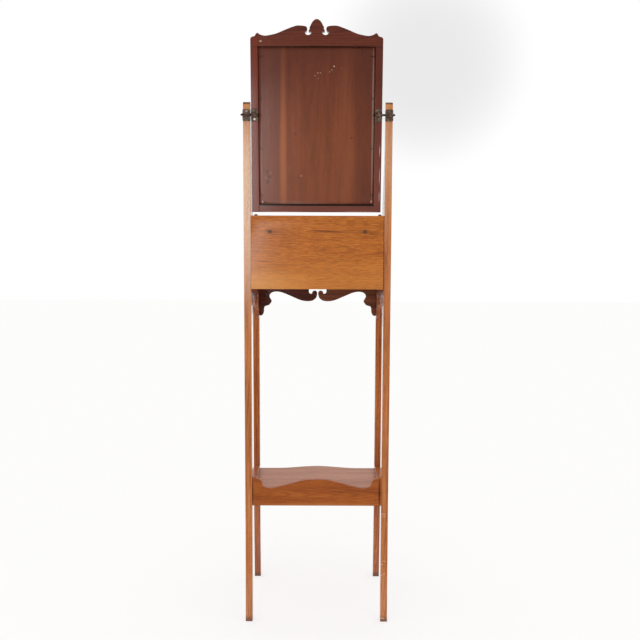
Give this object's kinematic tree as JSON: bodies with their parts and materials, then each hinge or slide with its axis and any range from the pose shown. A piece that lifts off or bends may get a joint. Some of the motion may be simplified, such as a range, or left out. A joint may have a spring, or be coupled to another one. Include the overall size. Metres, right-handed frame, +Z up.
{
  "type": "shaving stand",
  "caption": "Tall oak shaving stand: swing mirror with a swan-neck crest between two posts, small drawers, a scrolled apron and a galleried shelf on sabre legs.",
  "frame": {"origin": "middle of the overall box, on the floor", "axes": "+Z up; the drawers face -Y and the pictured back faces +Y; X runs across the mirror"},
  "size_m": [0.418, 0.3262, 1.6745],
  "materials": {
    "oak": "oiled golden oak, satin",
    "honey_oak": "thin varnish over flat-sawn oak",
    "shelf_oak": "worn varnished oak",
    "quartered_oak": "quarter-sawn oak, polished",
    "stained_oak": "red-brown stain",
    "backboard": "red-brown stained softwood",
    "pine": "bare secondary wood",
    "silvered_glass": "silvered plate glass",
    "cast_bronzed_iron": "bronzed casting",
    "screws": "bright slotted screws",
    "iron": "rusted iron"
  },
  "bodies": {
    "stand": {"rear_leg_left": "oak", "rear_leg_right": "oak", "front_leg_left": "oak", "front_leg_right": "oak", "cabinet_top": "oak", "cabinet_bottom": "oak", "cabinet_side_left": "oak", "cabinet_side_right": "oak", "cabinet_back": "honey_oak", "back_cleat": "pine", "back_screws": "iron", "drawer_divider": "oak", "upper_runner_left": "pine", "upper_runner_right": "pine", "lower_guide_left": "pine", "lower_guide_right": "pine", "drawer_stops": "pine", "front_apron_left": "oak", "front_apron_right": "oak", "side_apron_left": "oak", "side_apron_right": "oak", "apron_glue_blocks": "pine", "corner_finial_left": "oak", "corner_finial_right": "oak", "shelf_board": "shelf_oak", "shelf_back_rail": "oak", "shelf_side_rail_left": "oak", "shelf_side_rail_right": "oak", "post_bracket_left": "cast_bronzed_iron", "post_bracket_right": "cast_bronzed_iron", "post_bracket_screws": "screws"},
    "mirror": {"mirror_stile_left": "stained_oak", "mirror_stile_right": "stained_oak", "mirror_bottom_rail": "stained_oak", "mirror_crest_rail": "stained_oak", "mirror_glass": "silvered_glass", "mirror_backboard": "backboard", "stile_plate_left": "cast_bronzed_iron", "stile_plate_right": "cast_bronzed_iron", "stile_plate_screws": "screws", "pivot_pin_left": "cast_bronzed_iron", "pivot_pin_right": "cast_bronzed_iron", "backboard_brads": "iron"},
    "upper_drawer": {"upper_drawer_front": "quartered_oak", "upper_drawer_side_left": "pine", "upper_drawer_side_right": "pine", "upper_drawer_back": "pine", "upper_drawer_bottom": "pine", "upper_drawer_knobs": "quartered_oak"},
    "lower_drawer": {"lower_drawer_front": "quartered_oak", "lower_drawer_side_left": "pine", "lower_drawer_side_right": "pine", "lower_drawer_back": "pine", "lower_drawer_bottom": "pine", "lower_drawer_knobs": "quartered_oak"}
  },
  "joints": [
    {"name": "mirror_tilt", "type": "hinge", "parent": "stand", "child": "mirror", "pos_m": [0, 0.15286, 1.426], "axis": [1, 0, 0], "continuous": true},
    {"name": "upper_drawer_slide", "type": "slide", "parent": "stand", "child": "upper_drawer", "axis": [0, -1, 0], "range_m": [0, 0.18]},
    {"name": "lower_drawer_slide", "type": "slide", "parent": "stand", "child": "lower_drawer", "axis": [0, -1, 0], "range_m": [0, 0.18]}
  ]
}
